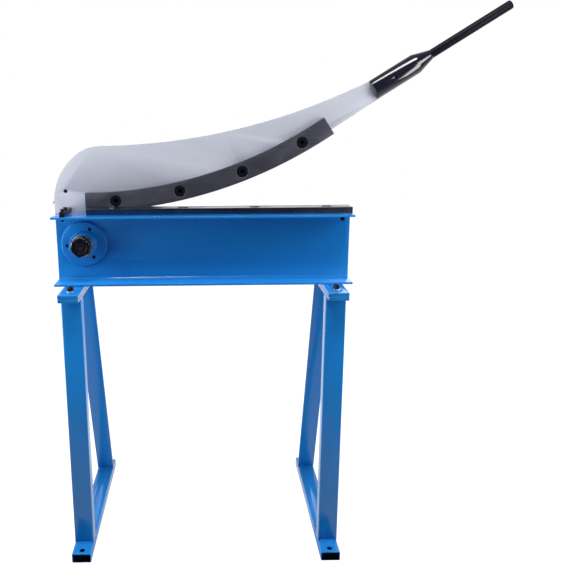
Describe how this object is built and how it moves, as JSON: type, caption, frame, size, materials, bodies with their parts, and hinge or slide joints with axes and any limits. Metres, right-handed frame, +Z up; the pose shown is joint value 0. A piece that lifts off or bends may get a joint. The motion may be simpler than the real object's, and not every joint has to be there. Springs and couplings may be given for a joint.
{
  "type": "lever guillotine sheet shear",
  "caption": "Bench-height hand shear for sheet metal: a curved blade on a long lever arm swings past a straight blade on a beam bed, on a steel floor stand.",
  "frame": {"origin": "on the floor, in the middle of the rectangle of floor anchor holes", "axes": "+X along the blades from the pivot towards the handle, +Y from the operator's side to the back, +Z up"},
  "size_m": [1.3788, 0.61, 1.6784],
  "materials": {
    "blue_paint": "gloss",
    "grey_paint": "semi-gloss",
    "blade_steel": "ground, darkened",
    "black_oxide": "black oxide",
    "black_gloss": "gloss",
    "bright_steel": "zinc plated",
    "bronze": "satin"
  },
  "bodies": {
    "stand_and_bed": {"bed_beam": "blue_paint", "lower_blade": "blade_steel", "lower_blade_screws": "black_oxide", "pivot_hub": "blue_paint", "hub_screws": "black_oxide", "front_bush": "bronze", "rear_bush": "bronze", "thrust_washer": "bright_steel", "guide_bar_screws": "black_oxide", "web_plugs": "black_oxide", "stand_washers": "bright_steel", "stand_studs": "black_oxide", "stand_nuts": "black_oxide", "floor_rail_left": "blue_paint", "front_leg_left": "blue_paint", "rear_leg_left": "blue_paint", "stand_bar_left": "blue_paint", "foot_bar_left": "blue_paint", "floor_rail_right": "blue_paint", "front_leg_right": "blue_paint", "rear_leg_right": "blue_paint", "stand_bar_right": "blue_paint", "foot_bar_right": "blue_paint"},
    "arm": {"arm_plate": "grey_paint", "arm_screw": "black_oxide", "edge_screw": "bright_steel", "upper_blade": "blade_steel", "upper_blade_screws": "black_oxide", "upper_blade_nuts": "black_oxide", "handle_socket": "black_gloss", "socket_set_screws": "black_oxide", "handle_rod": "black_gloss", "pivot_shaft": "black_oxide", "pivot_nut": "black_oxide", "pivot_washer": "bright_steel"},
    "guide_bar": {"guide_bar": "black_oxide"}
  },
  "joints": [
    {"name": "arm_swing", "type": "hinge", "parent": "stand_and_bed", "child": "arm", "pos_m": [-0.366, -0.058, 0.98], "axis": [0, 1, 0], "range_deg": [-22, 17]},
    {"name": "guide_bar_slide", "type": "slide", "parent": "stand_and_bed", "child": "guide_bar", "axis": [0, 1, 0], "range_m": [-0.008, 0]}
  ]
}
